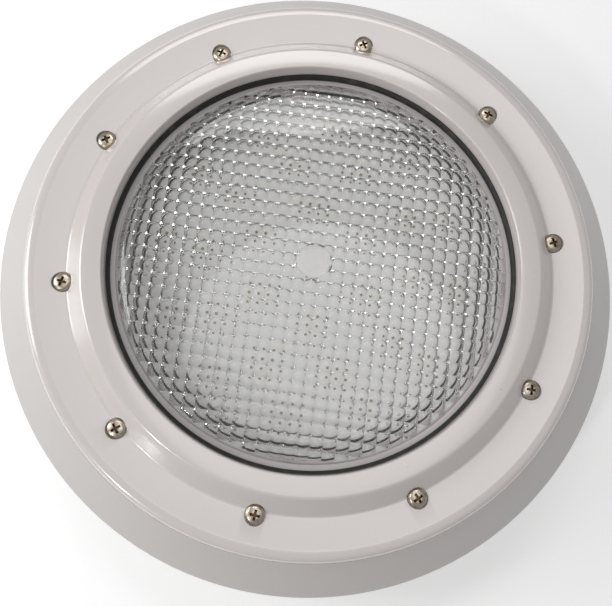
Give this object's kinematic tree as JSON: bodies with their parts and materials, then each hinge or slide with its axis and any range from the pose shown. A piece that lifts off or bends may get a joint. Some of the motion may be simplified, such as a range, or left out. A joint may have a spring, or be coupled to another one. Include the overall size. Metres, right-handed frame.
{
  "type": "underwater pool light",
  "caption": "Round surface-mounted underwater pool lamp: prismatic lens under a screwed front ring on a conical skirt, twist-locked on a wall bracket.",
  "frame": {"origin": "on the lamp axis in the plane of the wall, the back face of the bracket", "axes": "+Z along the lamp axis, out of the wall and out of the lens; +Y up the wall"},
  "size_m": [0.2882, 0.2882, 0.0583],
  "materials": {
    "abs_white": "glossy warm off-white ABS",
    "ring_white": "glossy warm off-white ABS",
    "bracket_white": "satin off-white ABS",
    "screw_steel": "stainless steel with a light brassy stain",
    "small_steel": "stainless steel",
    "brass": "machined brass",
    "lens_clear": "clear prismatic polycarbonate",
    "gasket_black": "black EPDM",
    "alloy": "plain sheet",
    "pad_grey": "silicone thermal pad",
    "board_white": "white solder mask",
    "led_yellow": "phosphor package",
    "dome_clear": "clear silicone dome",
    "board_green": "green solder mask",
    "dark_part": "moulded black",
    "copper_coil": "enamelled copper winding",
    "can_alloy": "capacitor can",
    "terminal_green": "moulded green",
    "connector_white": "moulded white",
    "wire_red": "PVC insulation",
    "wire_black": "PVC insulation",
    "gland_grey": "moulded nylon"
  },
  "bodies": {
    "bracket": {"wall_bracket": "bracket_white"},
    "gasket": {"wall_gasket": "gasket_black"},
    "lamp": {"skirt": "abs_white", "rear_can": "abs_white", "front_ring": "ring_white", "ring_screws": "screw_steel", "ring_inserts": "brass", "lens": "lens_clear", "lens_gasket": "gasket_black", "heat_plate": "alloy", "thermal_pad": "pad_grey", "led_board": "board_white", "led_packages": "led_yellow", "led_domes": "dome_clear", "board_pillars": "brass", "board_screws": "small_steel", "board_connector": "connector_white", "driver_board": "board_green", "driver_screws": "small_steel", "driver_coil": "copper_coil", "driver_capacitors": "can_alloy", "driver_rectifier": "dark_part", "terminal_block": "terminal_green", "lead_red": "wire_red", "lead_black": "wire_black", "gland_body": "gland_grey", "gland_seal": "gasket_black", "gland_nut": "gland_grey", "gland_locknut": "gland_grey", "gland_oring": "gasket_black", "bayonet_ring": "bracket_white", "bayonet_screws": "small_steel"}
  },
  "joints": [
    {"name": "lamp_pull", "type": "slide", "parent": "bracket", "child": "gasket", "axis": [0, 0, 1], "range_m": [0, 0.06]},
    {"name": "lamp_twist", "type": "hinge", "parent": "gasket", "child": "lamp", "pos_m": [0, 0, 0], "axis": [0, 0, 1], "range_deg": [-25, 0]}
  ]
}
